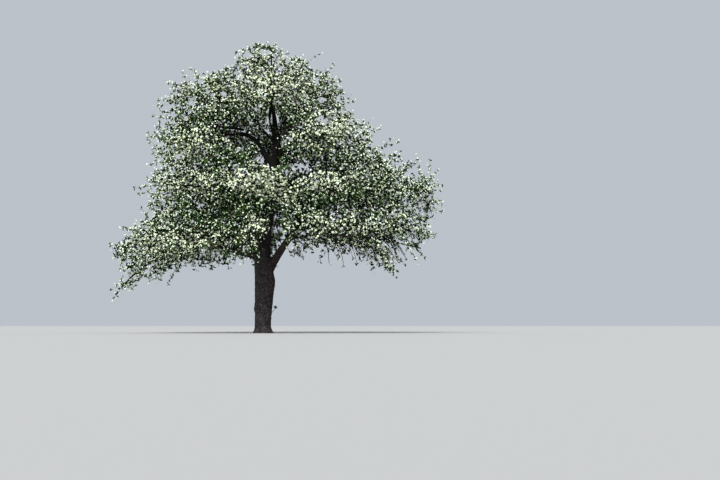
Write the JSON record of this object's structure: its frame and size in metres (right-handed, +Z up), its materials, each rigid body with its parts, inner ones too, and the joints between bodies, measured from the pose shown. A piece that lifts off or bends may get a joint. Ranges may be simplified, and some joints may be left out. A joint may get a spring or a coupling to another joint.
{
  "type": "pear tree",
  "caption": "Old standard pear tree in full blossom with young leaves: a short stout trunk, low fork, arching boughs and a broad open crown.",
  "frame": {"origin": "middle of the flat cut under the trunk, at ground level", "axes": "+Z up along the trunk, +X towards the crown's widest side (right in the picture), +Y away from the viewer of the picture"},
  "size_m": [13.3776, 12.4862, 11.8403],
  "materials": {
    "bark": "rough furrowed bark",
    "blossom": "matte",
    "young_leaf": "satin"
  },
  "bodies": {
    "root": {"bough_low_left": "bark", "bough_lower_1": "bark", "bough_lower_2": "bark", "bough_lower_3": "bark", "bough_lower_4": "bark", "bough_lower_5": "bark", "bough_lower_6": "bark", "bough_lower_7": "bark", "bough_shoulder_1": "bark", "bough_shoulder_2": "bark", "bough_shoulder_3": "bark", "bough_shoulder_4": "bark", "bough_skirt_1": "bark", "bough_skirt_2": "bark", "bough_skirt_3": "bark", "bough_skirt_4": "bark", "bough_skirt_5": "bark", "bough_skirt_6": "bark", "bough_skirt_7": "bark", "bough_skirt_8": "bark", "bough_upper_1": "bark", "bough_upper_2": "bark", "bough_upper_3": "bark", "bough_upper_4": "bark", "bough_upper_5": "bark", "foliage_crest": "blossom", "foliage_inner_1": "blossom", "foliage_inner_2": "blossom", "foliage_inner_3": "blossom", "foliage_low_left": "blossom", "foliage_lower_1": "blossom", "foliage_lower_2": "blossom", "foliage_lower_3": "blossom", "foliage_lower_4": "blossom", "foliage_lower_5": "blossom", "foliage_lower_6": "blossom", "foliage_lower_7": "blossom", "foliage_shoulder_1": "blossom", "foliage_shoulder_2": "blossom", "foliage_shoulder_3": "blossom", "foliage_shoulder_4": "blossom", "foliage_skirt_1": "blossom", "foliage_skirt_2": "blossom", "foliage_skirt_3": "blossom", "foliage_skirt_4": "blossom", "foliage_skirt_5": "blossom", "foliage_skirt_6": "blossom", "foliage_skirt_7": "blossom", "foliage_skirt_8": "blossom", "foliage_upper_1": "blossom", "foliage_upper_2": "blossom", "foliage_upper_3": "blossom", "foliage_upper_4": "blossom", "foliage_upper_5": "blossom", "trunk": "bark", "trunk_sprout": "young_leaf"}
  },
  "joints": []
}
